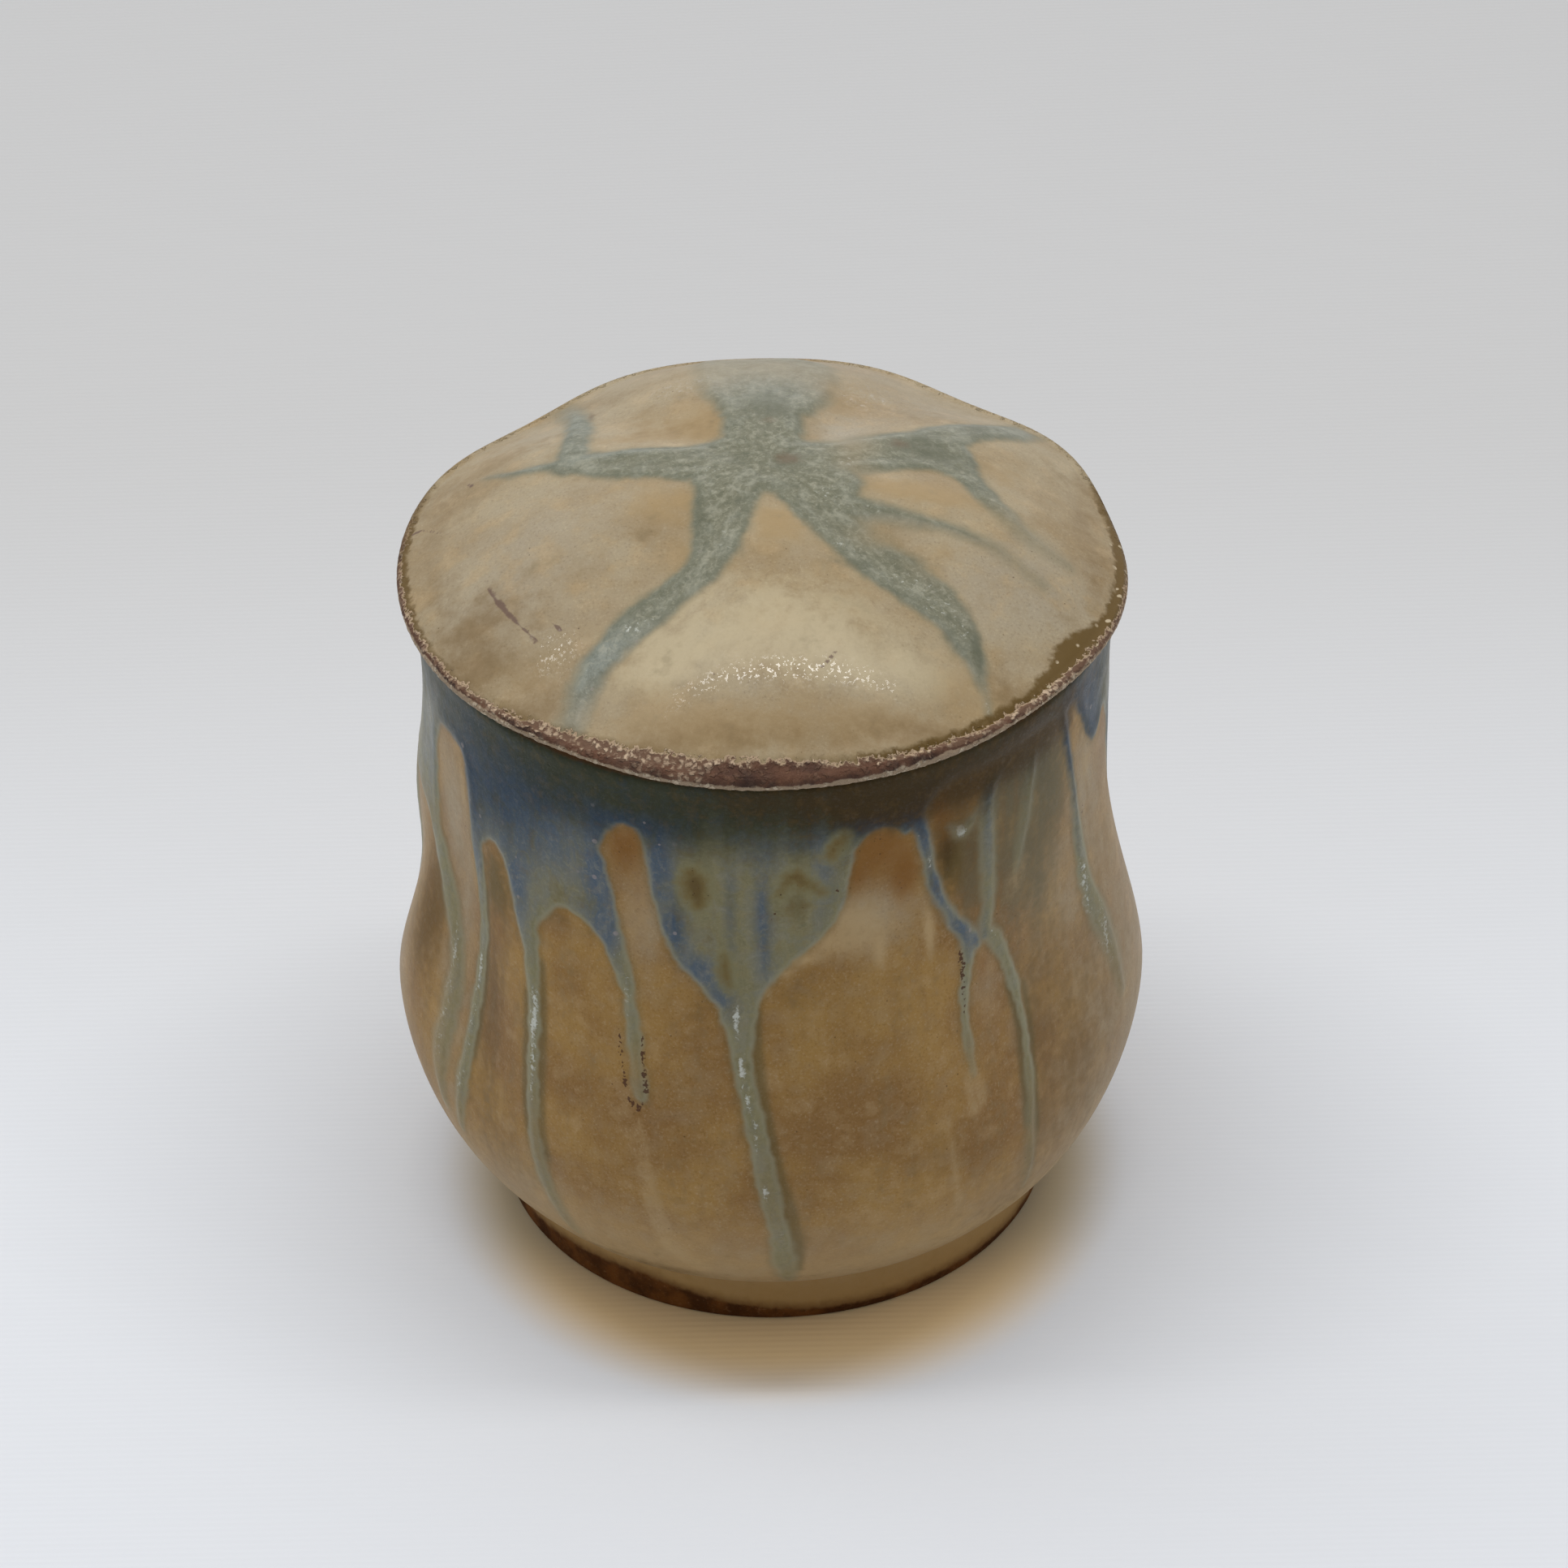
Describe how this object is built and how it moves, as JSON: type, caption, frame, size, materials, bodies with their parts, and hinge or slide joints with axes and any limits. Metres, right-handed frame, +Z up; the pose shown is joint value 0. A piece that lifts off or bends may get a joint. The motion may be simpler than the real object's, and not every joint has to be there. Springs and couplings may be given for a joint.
{
  "type": "lidded pot",
  "caption": "Small bellied stoneware jar on a turned foot, its wall pressed into soft grooves, with a low lobed dome lid that drops into the mouth and lifts off.",
  "frame": {"origin": "centre of the foot, on the surface the pot stands on", "axes": "+Z up along the axis the pot was thrown on, -Y towards the front of the picture, +X to the right"},
  "size_m": [0.1079, 0.1077, 0.1203],
  "materials": {
    "pot_glaze": "satin ochre stoneware glaze with blue-grey runs, bare brown clay at the foot",
    "lid_glaze": "satin sandy stoneware glaze with blue-grey runs, crusted brown rim"
  },
  "bodies": {
    "pot": {"pot": "pot_glaze"},
    "lid": {"lid": "lid_glaze"}
  },
  "joints": [
    {"name": "lid_lift", "type": "slide", "parent": "pot", "child": "lid", "axis": [0, 0, 1], "range_m": [0, 0.08]}
  ]
}
